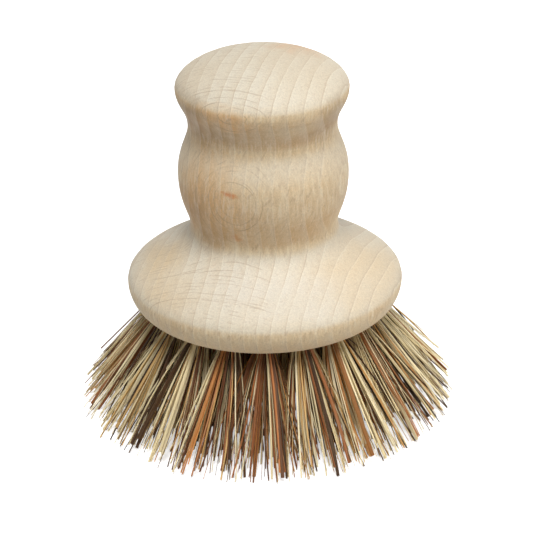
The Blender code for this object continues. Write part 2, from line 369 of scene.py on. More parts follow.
def ground_point(place, share_of_ring, spread, shift, chance):
    """Where a stalk would meet the ground: as far out and round the ring as its root lies in the hole."""
    mouth = np.array(place.translation) / MM
    into_wood = np.array(place.col[2].to_3d())
    middle = mouth - into_wood * (mouth[2] / into_wood[2])
    azimuth = math.atan2(middle[1], middle[0])
    squared = spread[0] / max(0.5, math.sqrt(1 - spread[1] ** 2))
    radius = math.hypot(middle[0], middle[1]) + TIP_REACH * squared + chance.normal(0, TIP_SCATTER)
    radius += RIGHT_REACH * (1 + math.cos(azimuth))
    turn = azimuth + spread[1] * TIP_OVERLAP * share_of_ring
    outward = np.array([math.cos(turn), math.sin(turn), 0])
    along = np.array([-outward[1], outward[0], 0])
    return radius * outward + shift * along, along


def trimmed(start, ground, chance):
    """The share of the way to the ground at which a stalk ends."""
    short = 0 if chance.random() < LEVEL_SHARE else chance.exponential(SHORTFALL)
    share = 1 - min(short, MOST_SHORT) / start[2]
    limit = chance.uniform(*OUTER_TRIM)
    here, there = math.hypot(start[0], start[1]), math.hypot(ground[0], ground[1])
    if here + (there - here) * share > limit:
        share = (limit - here) / (there - here)
    return share


def stalk_path(place, root, ground, along, chance):
    """Points of one half stalk, from the fold, past the anchor and out of the mouth to its tip."""
    side = 1 if root[1] >= 0 else -1
    beside = side * (ANCHOR_HALF_THICKNESS + ANCHOR_ROOM + abs(root[1]) * 0.85)
    over = ANCHOR_DEPTH + ANCHOR_HALF_WIDTH + ANCHOR_ROOM + 0.1 * abs(root[1])
    fold = [root[0] * 0.9, side * 0.12, over]
    local = np.array([fold, [root[0], beside, ANCHOR_DEPTH], [root[0], root[1], MOUTH_DEPTH]])
    matrix = np.array(place)
    inside = local @ matrix[:3, :3].T + matrix[:3, 3] / MM
    start = inside[-1]
    run = ground - start
    share = trimmed(start, ground, chance)
    steps = np.linspace(0, 1, STALK_RINGS - 2)[1:, None]
    free = start + steps * share * run
    sideways = run @ along - root[1]
    free += ((steps * share) ** 0.75 - steps * share) * sideways * along
    bow = chance.normal(0, BOW, 2)
    upwards = np.cross(along, run / np.linalg.norm(run))
    free += 4 * steps * (1 - steps) * (bow[0] * along + bow[1] * upwards)
    return np.vstack([inside, free]) * MM


def sweep(path, half_width, half_thickness, twist, taper):
    """A stalk's points, moved from the unit bar onto its path."""
    tangents = np.gradient(path, axis=0)
    tangents /= np.linalg.norm(tangents, axis=1)[:, None]
    reference = np.array([math.cos(twist), math.sin(twist), 0.35])
    sideways = np.cross(tangents, reference)
    sideways /= np.linalg.norm(sideways, axis=1)[:, None]
    upwards = np.cross(tangents, sideways)
    ring = np.rint(stalk_verts[:, 2] * (STALK_RINGS - 1)).astype(int)
    scale = 1 - taper * ring / (STALK_RINGS - 1)
    x = stalk_verts[:, 0] * half_width * scale * MM
    y = stalk_verts[:, 1] * half_thickness * scale * MM
    return path[ring] + x[:, None] * sideways[ring] + y[:, None] * upwards[ring]


print("fibres in a tuft:", sum(kind["count"] for kind in FIBRE_KINDS.values()))


# %% [markdown]
# A bundle is cut from one handful of fibre, so stalks of one colour come in small groups that lie side by
# side and lean the same way. Each tuft has ten such groups, and half of its stalks belong to the nearest
# one. The mix is mostly straw all round, with more red-brown and dark stalks in the middle of the front.
#
# The paths become meshes here. Each stalk also carries some numbers for its material: a tone that picks its
# colour from the mix, a shade that makes it lighter or darker, how far along it a point lies, because shade
# is painted darker towards the roots, and a UV map that runs across and along it for the fine streaks.

# %% Build the tufts
GROUPS_IN_A_TUFT = 10
MIX_SEED = 9000
# The tones of straw, orange, red-brown and dark stalks, and the share of each all round and at the front.
TONES = ((0.0, 0.19), (0.36, 0.48), (0.51, 0.72), (0.76, 1.0))
MIX_ALL_ROUND = np.array([0.58, 0.11, 0.11, 0.20])
MIX_AT_FRONT = np.array([0.24, 0.12, 0.37, 0.27])
FRONT_NARROWNESS = 10
MORE_STRAW = {"broad": -0.10, "stalk": 0.0, "hair": 0.20}
STRAW_SHADE = (0.95, 1.12)
OTHER_SHADE = (0.50, 1.20)
TONE_SCATTER = 0.015
# The share of stalks with a colour and a lean of their own, and of hairs that stray.
OWN_COLOUR = 0.5
STRAY_HAIRS = 0.25
# How far tips lean along the ring, in millimetres: those of a group, each by itself, and stray hairs.
GROUP_LEAN = 1.3
OWN_LEAN = 0.5
STRAY_LEAN = 4.0
MOST_TAPER = 0.25
LOWEST_POINT = 0.02 * MM
# How far the UV map runs along a stalk. Across the stalk it is in millimetres.
MAP_LENGTH = 30


def pick_tone(azimuth, level, chance, more_straw=0.0):
    """A place on the colour ramp: straw at 0, through orange and red-brown, to the darkest brown at 1."""
    front = max(0.0, -math.sin(azimuth)) ** FRONT_NARROWNESS
    shares = MIX_ALL_ROUND + front * (MIX_AT_FRONT - MIX_ALL_ROUND)
    shares[0] += more_straw
    reached = np.cumsum(shares / shares.sum())
    low, high = TONES[int(np.searchsorted(reached[:-1], level))]
    return chance.uniform(low, high)


def colour_groups(azimuth, chance):
    """The groups of one tuft: where each lies in the hole, its tone and how far it leans along the ring."""
    levels = (np.arange(GROUPS_IN_A_TUFT) + chance.random(GROUPS_IN_A_TUFT)) / GROUPS_IN_A_TUFT
    chance.shuffle(levels)
    groups = []
    for place, level in zip(sunflower(GROUPS_IN_A_TUFT, chance), levels):
        groups.append((np.array(place), pick_tone(azimuth, level, chance), chance.normal(0, GROUP_LEAN)))
    return groups


def tuft_seed(name):
    """A seed for each tuft, worked out from its name."""
    return MIX_SEED + sum(ord(letter) * (index + 7) for index, letter in enumerate(name))


def build_tuft(name, place):
    """All the stalks and hairs of one tuft, as one mesh."""
    chance = np.random.default_rng(tuft_seed(name))
    share_of_ring = math.pi / RINGS[name.split("_")[0]][0]
    azimuth = math.atan2(place.translation.y, place.translation.x)
    groups = colour_groups(azimuth, chance)
    kinds = [kind for kind, sizes in FIBRE_KINDS.items() for _ in range(sizes["count"])]
    chance.shuffle(kinds)
    verts, faces, stalks = [], [], []
    for kind, spread in zip(kinds, sunflower(len(kinds), chance)):
        sizes = FIBRE_KINDS[kind]
        _, tone, lean = min(groups, key=lambda group: math.dist(group[0], spread))
        if chance.random() < OWN_COLOUR:
            tone = pick_tone(azimuth, chance.random(), chance, MORE_STRAW[kind])
            lean = chance.normal(0, GROUP_LEAN)
        if kind == "hair" and chance.random() < STRAY_HAIRS:
            lean = chance.normal(0, STRAY_LEAN)
        root = np.array(spread) * ROOT_RADIUS
        shift = lean + chance.normal(0, OWN_LEAN)
        ground, along = ground_point(place, share_of_ring, spread, shift, chance)
        path = stalk_path(place, root, ground, along, chance)
        half_width = chance.uniform(*sizes["width"])
        half_thickness = chance.uniform(*sizes["thickness"])
        twist = chance.uniform(0, math.tau)
        points = sweep(path, half_width, half_thickness, twist, chance.uniform(0, MOST_TAPER))
        points[:, 2] = np.maximum(points[:, 2], LOWEST_POINT)
        base = len(verts) * len(stalk_verts)
        verts.append(points)
        faces += [tuple(base + index for index in face) for face in stalk_faces]
        shade = chance.uniform(*(STRAW_SHADE if tone < TONES[1][0] else OTHER_SHADE))
        tone += chance.normal(0, TONE_SCATTER)
        stalks.append((tone, shade, half_width, chance.uniform(0, 100)))
    mesh = bpy.data.meshes.new(f"fibre_{name}")
    mesh.from_pydata(np.concatenate(verts).tolist(), [], faces)
    add_fibre_data(mesh, np.array(stalks))
    mesh.validate()
    return add_object(f"fibre_{name}", mesh)


def add_fibre_data(mesh, stalks):
    """Gives the mesh its tone, shade and length attributes and its UV map."""
    per_stalk = len(stalk_verts)
    tones, shades, widths, shifts = stalks.T
    values = {
        "tone": np.repeat(tones, per_stalk),
        "shade": np.repeat(shades, per_stalk),
        "length": np.tile(stalk_verts[:, 2], len(stalks)),
    }
    for label, numbers in values.items():
        mesh.attributes.new(label, "FLOAT", "POINT").data.foreach_set("value", numbers)
    layer = mesh.uv_layers.new(name="streaks")
    corner_verts = np.empty(len(mesh.loops), dtype=np.int32)
    mesh.loops.foreach_get("vertex_index", corner_verts)
    which, local = corner_verts // per_stalk, corner_verts % per_stalk
    across = stalk_verts[local, 0] * widths[which] + shifts[which]
    along = stalk_verts[local, 2] * MAP_LENGTH + shifts[which]
    layer.data.foreach_set("uv", np.stack([across, along], axis=1).ravel())


tufts = {name: build_tuft(name, place) for name, place in holes.items()}
print("tufts:", len(tufts), "faces:", sum(len(tuft.data.polygons) for tuft in tufts.values()))


# %% [markdown]
# Shading one stalk as a smooth bar would lose its flat, cut look. So its faces are smoothed only where they
# meet at a blunt angle. The narrow edges of a flat stalk stay crisp, and so does its cut end.

# %% Shade the stalks
STALK_SMOOTH_BELOW = math.radians(62)

for tuft in tufts.values():
    tuft.data.shade_smooth()
    tuft.data.set_sharp_from_angle(angle=STALK_SMOOTH_BELOW)
print("shaded:", len(tufts))


# %% [markdown]
# The looks are made of nodes, and no picture is used. Most of these helpers place one kind of node, in the
# tree that its inputs come from, and return its output, so a pattern can be written like a sum.

# %% Node helpers
def feed(socket, value):
    """Links an input to another node's output, or gives it a constant."""
    if isinstance(value, bpy.types.NodeSocket):
        socket.id_data.links.new(value, socket)
    else:
        socket.default_value = value


def place_node(tree, kind, inputs=None, **settings):
    """Places a node with its settings, and feeds the inputs that are given by name or number."""
    node = tree.nodes.new(f"ShaderNode{kind}")
    for name, value in settings.items():
        setattr(node, name, value)
    for label, value in (inputs or {}).items():
        feed(node.inputs[label], value)
    return node


def new_group(name, inputs, outputs):
    """A node group with a vector and other inputs; returns it, what it is given and where its results go."""
    group = bpy.data.node_groups.new(name, "ShaderNodeTree")
    for label, value in {"Vector": (0, 0, 0), **inputs}.items():
        kind = "NodeSocketVector" if isinstance(value, tuple) else "NodeSocketFloat"
        group.interface.new_socket(label, in_out="INPUT", socket_type=kind).default_value = value
    for label in outputs:
        group.interface.new_socket(label, in_out="OUTPUT", socket_type="NodeSocketFloat")
    return group, group.nodes.new("NodeGroupInput").outputs, group.nodes.new("NodeGroupOutput").inputs


def place_group(group, vector, **inputs):
    """A group node fed with a vector, its other inputs set by name; returns its outputs."""
    return place_node(vector.id_data, "Group", {"Vector": vector, **inputs}, node_tree=group).outputs


def math_node(operation, first, second=0.0, clamp=False):
    """A Math node. One of its two values may be a number."""
    tree = (first if isinstance(first, bpy.types.NodeSocket) else second).id_data
    return place_node(tree, "Math", {0: first, 1: second}, operation=operation, use_clamp=clamp).outputs[0]


def plus(first, second):
    """The sum of two values."""
    return math_node("ADD", first, second)


def minus(first, second, clamp=False):
    """The first value less the second."""
    return math_node("SUBTRACT", first, second, clamp)


def times(first, second, clamp=False):
    """The product of two values."""
    return math_node("MULTIPLY", first, second, clamp)


def vector_node(operation, first, second=(0, 0, 0), output="Vector"):
    """A Vector Math node."""
    return place_node(first.id_data, "VectorMath", {0: first, 1: second}, operation=operation).outputs[output]


def split_xyz(vector):
    """The coordinates of a vector, as outputs named X, Y and Z."""
    return place_node(vector.id_data, "SeparateXYZ", {0: vector}).outputs


def mapped(vector, rotation=(0, 0, 0), scale=(1, 1, 1)):
    """Coordinates scaled and then turned."""
    inputs = {"Vector": vector, "Rotation": rotation, "Scale": scale}
    return place_node(vector.id_data, "Mapping", inputs).outputs["Vector"]


def noise_node(vector, scale, detail=2.0, roughness=0.5):
    """Noise, which varies round one half."""
    inputs = {"Vector": vector, "Scale": scale, "Detail": detail, "Roughness": roughness}
    return place_node(vector.id_data, "TexNoise", inputs).outputs["Fac"]


def centred(value):
    """A value that varies round one half, made to vary round zero."""
    return minus(value, 0.5)


def stepped(value, low, high):
    """A smooth rise from 0 at low to 1 at high, or a fall where low is above high."""
    start, end = (0.0, 1.0) if low < high else (1.0, 0.0)
    low, high = sorted((low, high))
    inputs = {"Value": value, "From Min": low, "From Max": high, "To Min": start, "To Max": end}
    return place_node(value.id_data, "MapRange", inputs, interpolation_type="SMOOTHSTEP").outputs["Result"]


def ramp_node(factor, stops):
    """A colour ramp from (position, colour) stops."""
    node = place_node(factor.id_data, "ValToRGB", {"Fac": factor})
    elements = node.color_ramp.elements
    while len(elements) < len(stops):
        elements.new(0.5)
    for element, (position, colour) in zip(elements, stops):
        element.position = position
        element.color = (*colour, 1)
    return node.outputs["Color"]


def mix_colour(factor, first, second, blend="MIX"):
    """A Mix node between two colours, either of which may be a constant."""
    first, second = ((*value, 1) if isinstance(value, tuple) else value for value in (first, second))
    settings = {"data_type": "RGBA", "blend_type": blend, "clamp_factor": True}
    return place_node(factor.id_data, "Mix", {0: factor, 6: first, 7: second}, **settings).outputs[2]


def tinted(colour, amount, tint):
    """A colour with some of a tint in it: the tint's share where the amount is 1, and none where it is 0."""
    share, tint_colour = tint
    return mix_colour(times(amount, share), colour, tint_colour)


# %% [markdown]
# Beech shows its growth rings as thin dark lines about 3 mm apart. The rings of a big tree are so wide that
# in a block this small they are nearly flat planes, standing upright here and running from front to back.
# So the grain is a function of one direction through the block: the distance along the planes' normal. Each
# ring is pale after its line and darkens slowly towards the next, like a saw tooth. Because the pattern is
# solid it runs over the dome, round the belly and across the rim as real grain does.
#
# A node group takes that in once.

# %% The growth-ring group
RING_SPACING = 3.12 * MM
RING_PHASE = 2.69


def build_ring_group():
    """Growth rings: a saw tooth across upright planes, the thin dark line that ends each and a pale edge."""
    group, given, result = new_group("growth_rings", {"Waviness": 0.9}, ["Darkening", "Line", "Edge"])
    upright = mapped(given["Vector"], scale=(1, 1, 0.4))
    wave = times(centred(noise_node(upright, 42, detail=1.0)), given["Waviness"])
    tremble = times(centred(noise_node(upright, 420, detail=1.0)), 0.09)
    across = times(split_xyz(given["Vector"])["X"], 1 / RING_SPACING)
    across = plus(plus(across, RING_PHASE), plus(wave, tremble))
    tooth = math_node("FRACT", across)
    feed(result["Darkening"], math_node("POWER", tooth, 1.3))
    patchy = stepped(noise_node(upright, 130), 0.36, 0.64)
    feed(result["Line"], times(stepped(tooth, 0.88, 0.97), patchy))
    feed(result["Edge"], stepped(tooth, 0.12, 0.02))
    return group


ring_group = build_ring_group()
print("group:", ring_group.name, len(ring_group.nodes), "nodes")


# %% [markdown]
# Across the rings run the rays, thin upright sheets that reach from the heart of the tree outwards. On the
# dome and the base they show as fine short dashes across the rings. Where the turned surface runs nearly
# level with them, they open into nested ovals: at the front of the knob and of the belly, a little to the
# left. A few long sheets make those ovals, so each gets its own place: how far it stands from the axis, and
# at which height. On the right of the brush the rays run out of sight, and the rings stand alone.
#
# A sheet has one thickness, but a surface that meets it at a low angle would show a broad band. So the
# line's width is worked out from that angle, and it stays as thin on the ovals as elsewhere.

# %% The ray groups
RAY_HALF_WIDTH = 0.17 * MM
RAY_SPACING = 0.85 * MM
# To the right of the first place there are no rays, and to the left of the second they are at their full.
RAY_SIDE = (3.0 * MM, -2.5 * MM)
SHEET_SWAY = 0.6 * MM
DASH_SWAY = 1.2 * MM


def build_sheet_group():
    """One long ray: a thin line where the surface cuts an upright plane, fading out above and below."""
    sizes = {"Slope": 1.0, "Distance": 0.0, "Height": 0.0, "Reach": 0.006, "Strength": 1.0}
    group, given, result = new_group("ray_sheet", sizes, ["Line"])
    position, slope = given["Vector"], given["Slope"]
    place = split_xyz(position)
    sway = times(centred(noise_node(position, 160)), SHEET_SWAY)
    depth = plus(plus(place["Y"], given["Distance"]), times(sway, slope))
    beside = math_node("DIVIDE", math_node("ABSOLUTE", depth), times(slope, RAY_HALF_WIDTH))
    above = math_node("ABSOLUTE", minus(place["Z"], given["Height"]))
    fade = math_node("POWER", math_node("DIVIDE", above, given["Reach"]), 4.0)
    line = times(minus(1.0, beside, clamp=True), minus(1.25, fade, clamp=True))
    broken = stepped(noise_node(position, 210), 0.36, 0.52)
    feed(result["Line"], times(times(line, broken), given["Strength"]))
    return group


def build_dash_group():
    """Many small rays: planes at an even spacing, each broken into short dashes, and some left out."""
    group, given, result = new_group("ray_dashes", {"Slope": 1.0}, ["Line"])
    place = split_xyz(given["Vector"])
    sway = times(centred(noise_node(given["Vector"], 90, detail=1.0)), DASH_SWAY)
    depth = times(plus(place["Y"], sway), 1 / RAY_SPACING)
    beside = math_node("ABSOLUTE", centred(math_node("FRACT", depth)))
    width = times(given["Slope"], RAY_HALF_WIDTH / RAY_SPACING)
    thin = minus(1.0, math_node("DIVIDE", beside, width), clamp=True)
    number = math_node("FLOOR", depth)
    inputs = {"X": times(place["X"], 240), "Y": times(number, 7.3), "Z": times(place["Z"], 90)}
    scattered = place_node(group, "CombineXYZ", inputs).outputs[0]
    dashes = stepped(noise_node(scattered, 1.0, detail=1.0), 0.50, 0.64)
    feed(result["Line"], times(thin, dashes))
    return group


sheet_group = build_sheet_group()
dash_group = build_dash_group()
print("groups:", sheet_group.name, dash_group.name)


# %% [markdown]
# The pores of beech are too fine to see one by one. They give the turned sides a soft upright streak and
# short slanted dashes, and the whole block a speckle. Here and there the wood is stained: rusty flecks on
# the belly, the knob and the waist, a pinkish patch at the back of the dome, and warmer patches on both
# sides of the base. The same soft blobs also paint light and shade into the colour: warm dark bands of
# painted shade round the neck, the top of the belly and the waist, deeper at the sides, warm painted shade
# down the left, where the wood also has a brown patch, a warmer, lighter painted band round the edge of the
# knob and a painted highlight on the front of the base. Each blob has its own place and size, and noise
# frays its edge. A band is a blob wider than the wood.

# %% The pore and blob groups, for stains and painted light and shade
DASH_SLANT = math.radians(-28)


def build_pore_group():
    """Pores: fine speckle, soft upright streaks and short slanted dashes."""
    group, given, result = new_group("pores", {}, ["Speckle", "Streak", "Dash"])
    position = given["Vector"]
    feed(result["Speckle"], noise_node(mapped(position, scale=(1, 1, 0.7)), 3300, roughness=0.7))
    upright = mapped(position, scale=(1, 1, 0.16))
    feed(result["Streak"], noise_node(upright, 1400, detail=3.0, roughness=0.65))
    slanted = mapped(mapped(position, rotation=(0, DASH_SLANT, 0)), scale=(1, 1, 0.3))
    feed(result["Dash"], stepped(noise_node(slanted, 1250, detail=1.0), 0.60, 0.71))
    return group


def build_blob_group():
    """A soft blob round a place, frayed by noise: 1 in its middle and 0 past its size."""
    inputs = {"Place": (0, 0, 0), "Size": (0.01, 0.01, 0.01), "Strength": 1.0}
    group, given, result = new_group("stain_or_shade_blob", inputs, ["Amount"])
    offset = vector_node("SUBTRACT", given["Vector"], given["Place"])
    ratio = vector_node("DIVIDE", offset, given["Size"])
    fray = times(centred(noise_node(ratio, 1.6, detail=3.0)), 1.4)
    reach = plus(vector_node("LENGTH", ratio, output="Value"), fray)
    feed(result["Amount"], times(stepped(reach, 1.0, 0.15), given["Strength"]))
    return group


pore_group = build_pore_group()
blob_group = build_blob_group()
print("groups:", pore_group.name, blob_group.name)


# %% [markdown]
# The grain and the marks of this one block come next. The rings stand a little askew to the front, and the
# rays square to them within a few degrees. The long rays, the stains and the patches of painted light and
# shade are listed one by one. Later ones lie over earlier ones.

# %% Where the long rays, the stains and the painted light and shade are
GRAIN_TURN = math.radians(16)
RAY_TURN = math.radians(20)

# Each long ray: its distance from the axis, its height and how far it reaches up and down, in millimetres,
# and its strength. Those that stand 19 mm out make the ovals on the knob and the belly.
LONG_RAYS = [
    (15.7, 81.5, 3.0, 0.75),
    (16.9, 79.5, 2.5, 0.5),
    (18.5, 79.5, 2.5, 0.9),
    (18.9, 74.5, 2.6, 1.0),
    (19.8, 78.0, 2.0, 0.9),
    (19.6, 38.5, 3.0, 0.75),
    (22.4, 37.0, 3.0, 0.4),
    (26.5, 34.0, 3.0, 0.7),
    (19.6, 58.0, 6.0, 0.5),
    (19.24, 57.0, 7.5, 0.75),
    (18.8, 53.5, 9.0, 1.0),
    (18.0, 58.0, 9.0, 0.5),
    (16.9, 56.0, 8.0, 1.0),
]

# Each entry, stains and painted light and shade alike: its place and its size in millimetres, its strength
# and its colour.
STAINS_AND_PAINTED_LIGHT_AND_SHADE = {
    "dome": ((7.0, 1.0, 86.0), (13, 17, 6), 0.7, (0.72, 0.62, 0.47)),
    # Painted light: a warmer, lighter band round the edge of the knob, where it turns under.
    "knob_rim_painted_light": ((0, 0, 78.8), (44, 44, 3.2), 0.6, (0.88, 0.70, 0.45)),
    # Painted shade: a warm dark band round the neck under the knob, deeper at the left and the right.
    "neck": ((0, 0, 74.0), (44, 44, 5.0), 0.95, (0.49, 0.33, 0.19)),
    "neck_left_painted_shade": ((-16.0, -9.5, 74.5), (15, 17, 7.5), 0.85, (0.28, 0.19, 0.11)),
    "neck_right_painted_shade": ((17.0, -7.5, 74.5), (12, 14, 7), 0.75, (0.34, 0.235, 0.14)),
    # Painted shade: warm shade on the top of the belly below the knob, and a warm dark band in the waist.
    "belly_top_painted_shade": ((0, 0, 65.5), (44, 44, 7), 0.6, (0.78, 0.61, 0.38)),
    "waist": ((0, 0, 52.8), (40, 40, 9), 0.9, (0.60, 0.42, 0.24)),
    "rim": ((0, 0, 31.3), (72, 72, 4.6), 0.5, (0.78, 0.70, 0.54)),
    # Painted warm shade on the left of the rim and of the waist, and down the left of the belly, where the
    # wood also has a brown patch of its own.
    "rim_left_painted_shade": ((-19.0, -20.0, 33.0), (14, 12, 6), 0.5, (0.68, 0.53, 0.34)),
    "left_patch_and_painted_shade": ((-14.0, -15.0, 59.0), (15, 15, 21), 0.7, (0.70, 0.46, 0.23)),
    "waist_left_painted_shade": ((-14.0, -9.0, 50.5), (11, 13, 9), 0.75, (0.44, 0.28, 0.14)),
    "knob_front": ((-8.5, -17.0, 78.0), (12, 8, 4), 0.65, (0.76, 0.50, 0.26)),
    "belly_fleck": ((-7.7, -18.3, 60.0), (3.2, 2.8, 1.0), 1.0, (0.62, 0.25, 0.08)),
    "knob_fleck": ((-6.3, -19.2, 78.8), (3.8, 2.5, 1.2), 0.5, (0.64, 0.38, 0.18)),
    "waist_fleck": ((-6.1, -16.3, 48.8), (2.0, 2.0, 1.4), 0.7, (0.62, 0.28, 0.11)),
    "knob_back": ((8.5, 9.0, 85.5), (9.0, 10.0, 5.0), 1.0, (0.72, 0.52, 0.35)),
    # Painted highlight: the front of the base made whiter, where the light falls brightest.
    "base_front_painted_highlight": ((4.0, -22.0, 37.0), (24, 13, 7), 0.8, (0.755, 0.70, 0.60)),
    "base_right": ((22.0, -9.0, 36.0), (18, 24, 10), 0.62, (0.74, 0.575, 0.365)),
    "base_left": ((-24.0, -6.0, 37.0), (12, 19, 9), 0.85, (0.73, 0.57, 0.36)),
}
# Where the rings hardly show: the place, the size and how much of them is lost.
FADED_RINGS = ((4.0, -26.0, 35.0), (22, 13, 9), 0.6)
print("long rays:", len(LONG_RAYS), "stains:", len(STAINS_AND_PAINTED_LIGHT_AND_SHADE))


# %% [markdown]
# The beech material puts these together over a pale cream. The grain runs up the block, so the dome and the
# top of the base are end grain, where the rings and the ray dashes are crisp, and the sides are long grain,
# where they are faint, the streaks show and the wood is warmer. How far the surface faces up or down
# decides between the two. Where it faces down it is as warm as on the sides, and there the warmth is painted
# shade. On the front of the base the rings fade. The surface is sanded and bare, so it is matt, with the
# grain just felt: a slight bump and a slight change of roughness.

# %% The beech material
# How far the surface faces up or down where end grain begins to show, and where it is all end grain.
GRAIN_CHANGE = (0.05, 0.45)
# The warmth of the long grain, also painted as warm shade where the surface faces down.
LONG_GRAIN_AND_UNDERSIDE_SHADE_TINT = (0.98, 0.86, 0.68)
WOOD_COLOURS = [(0.32, (0.77, 0.705, 0.575)), (0.5, (0.76, 0.68, 0.54)), (0.68, (0.745, 0.645, 0.49))]
# Each pattern's tint: how much of it goes into the wood at most, and its colour.
LATE_WOOD = (0.6, (0.68, 0.57, 0.42))
RING_LINE = (0.34, (0.48, 0.34, 0.22))
RING_EDGE = (0.22, (0.90, 0.83, 0.68))
RAY = (0.85, (0.42, 0.29, 0.18))
SLANTED_PORES = (0.45, (0.50, 0.35, 0.22))
# How strong the ray dashes and the streaks are.
RAY_DASHES = 0.55
STREAK_CONTRAST = 1.9
BROWN_STREAK = (0.52, 0.36, 0.22)
PALE_STREAK = (0.90, 0.82, 0.66)


def new_material(name, inputs):
    """A material with some inputs of its shader set; returns it and the shader."""
    material = bpy.data.materials.new(name)
    material.use_nodes = True
    shader = material.node_tree.nodes["Principled BSDF"]
    for label, value in inputs.items():
        feed(shader.inputs[label], value)
    return material, shader


def set_lightness(shader, colour, lightness):
    """Gives the shader its colour, times a lightness."""
    scaled = place_node(shader.id_data, "VectorMath", {0: colour, "Scale": lightness}, operation="SCALE")
    feed(shader.inputs["Base Color"], scaled.outputs[0])


def set_bump(shader, height, strength, distance):
    """Gives the shader a slight relief."""
    inputs = {"Strength": strength, "Distance": distance, "Height": height}
    feed(shader.inputs["Normal"], place_node(shader.id_data, "Bump", inputs).outputs["Normal"])


def place_blob(position, place, size, strength):
    """One soft blob at its place and size in millimetres, for stains, painted light and shade, and faded
    rings; returns how much of it there is.
    """
    place, size = ([v * MM for v in values] for values in (place, size))
    return place_group(blob_group, position, Place=place, Size=size, Strength=strength)["Amount"]


def facing_slope(normal, turn):
    """How steeply the surface meets the ray sheets: 1 where it is square to them, near 0 along them."""
    across = vector_node("DOT_PRODUCT", normal, (math.sin(turn), math.cos(turn), 0), output="Value")
    slope = math_node("SQRT", minus(1.0, times(across, across), clamp=True))
    return math_node("MAXIMUM", slope, 0.12)


def stained_and_shaded_wood(position, along_rings, facing_up):
    """The cream of the wood in its broad patches, with its stains and painted light and shade, warmer on the
    long grain and, as painted shade, where it faces down.
    """
    patches = noise_node(mapped(along_rings, scale=(1, 0.5, 0.35)), 48)
    colour = ramp_node(patches, WOOD_COLOURS)
    for *stain_or_shade_blob, blob_colour in STAINS_AND_PAINTED_LIGHT_AND_SHADE.values():
        colour = mix_colour(place_blob(position, *stain_or_shade_blob), colour, blob_colour)
    # Long grain on the sides, and painted warm shade where the surface faces down.
    long_grain_and_underside_shade = minus(1.0, stepped(facing_up, *GRAIN_CHANGE))
    return mix_colour(long_grain_and_underside_shade, colour, LONG_GRAIN_AND_UNDERSIDE_SHADE_TINT, blend="MULTIPLY")


def add_rings(colour, position, along_rings, end_grain):
    """The growth rings over the wood; returns the colour and the rings' thin lines."""
    rings = place_group(ring_group, along_rings)
    shown = minus(1.0, place_blob(position, *FADED_RINGS))
    share = times(plus(times(end_grain, 0.55), 0.45), shown)
    colour = tinted(colour, times(rings["Darkening"], share), LATE_WOOD)
    line = times(rings["Line"], plus(times(end_grain, 0.85), 0.15))
    colour = tinted(colour, line, RING_LINE)
    return tinted(colour, rings["Edge"], RING_EDGE), line


def add_rays(colour, position, along_rays, slope):
    """The ray dashes and the long rays over the wood, on the left."""
    rays = times(place_group(dash_group, along_rays, Slope=slope)["Line"], RAY_DASHES)
    for distance, height, reach, strength in LONG_RAYS:
        sizes = {"Distance": distance * MM, "Height": height * MM, "Reach": reach * MM}
        sheet = place_group(sheet_group, along_rays, Slope=slope, Strength=strength, **sizes)
        rays = math_node("MAXIMUM", rays, sheet["Line"])
    on_left = stepped(split_xyz(position)["X"], *RAY_SIDE)
    return tinted(colour, times(rays, on_left), RAY)


def build_beech():
    """Bare sanded beech."""
    material, shader = new_material("bare_beech", {"Specular IOR Level": 0.28})
    coordinates = place_node(material.node_tree, "TexCoord").outputs
    position, normal = coordinates["Object"], coordinates["Normal"]
    along_rings = mapped(position, rotation=(0, 0, GRAIN_TURN))
    along_rays = mapped(position, rotation=(0, 0, RAY_TURN))
    facing_up = split_xyz(normal)["Z"]
    end_grain = stepped(math_node("ABSOLUTE", facing_up), *GRAIN_CHANGE)

    colour = stained_and_shaded_wood(position, along_rings, facing_up)
    colour, line = add_rings(colour, position, along_rings, end_grain)
    colour = add_rays(colour, position, along_rays, facing_slope(normal, RAY_TURN))

    pores = place_group(pore_group, position)
    speckle = pores["Speckle"]
    side_grain = minus(1.0, times(end_grain, 0.7))
    colour = tinted(colour, times(pores["Dash"], side_grain), SLANTED_PORES)
    streak = times(centred(pores["Streak"]), side_grain)
    for contrast, streak_colour in ((-STREAK_CONTRAST, BROWN_STREAK), (STREAK_CONTRAST, PALE_STREAK)):
        colour = mix_colour(times(streak, contrast, clamp=True), colour, streak_colour)
    set_lightness(shader, colour, plus(times(centred(speckle), 0.5), 1.0))

    feed(shader.inputs["Roughness"], plus(times(speckle, 0.2), 0.5))
    height = minus(plus(speckle, times(streak, 2.0)), times(line, 0.5))
    set_bump(shader, height, 0.25, 0.12 * MM)
    return material


beech = build_beech()
handle.data.materials.clear()
handle.data.materials.append(beech)
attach(handle, "root")
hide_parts("beech_handle")
print("material:", beech.name, len(beech.node_tree.nodes), "nodes")


# %% [markdown]
# The fibre material reads the tone that each stalk carries. A colour ramp turns it into straw, ochre,
# orange, red-brown or dark brown. Fine streaks run along every stalk from its own UV map, since a leaf
# fibre is a bundle of finer ones, and its skin has a faint gloss. The stalks are darker towards the root,
# which is painted shade deep in the bundle.

# %% The fibre material
FIBRE_COLOURS = [
    (0.0, (0.90, 0.785, 0.52)),
    (0.12, (0.88, 0.74, 0.44)),
    (0.24, (0.83, 0.645, 0.33)),
    (0.36, (0.68, 0.44, 0.17)),
    (0.46, (0.60, 0.245, 0.065)),
    (0.58, (0.42, 0.145, 0.045)),
    (0.72, (0.23, 0.078, 0.026)),
    (0.86, (0.11, 0.050, 0.021)),
    (1.0, (0.065, 0.034, 0.015)),
]
# Dark streaks and the painted shade at the root: how much goes into the fibre at most, and the colour.
DARK_STREAK = (0.45, (0.13, 0.06, 0.02))
PAINTED_ROOT_SHADE = (0.8, (0.09, 0.045, 0.02))
PALE_FIBRE = (0.76, 0.64, 0.40)


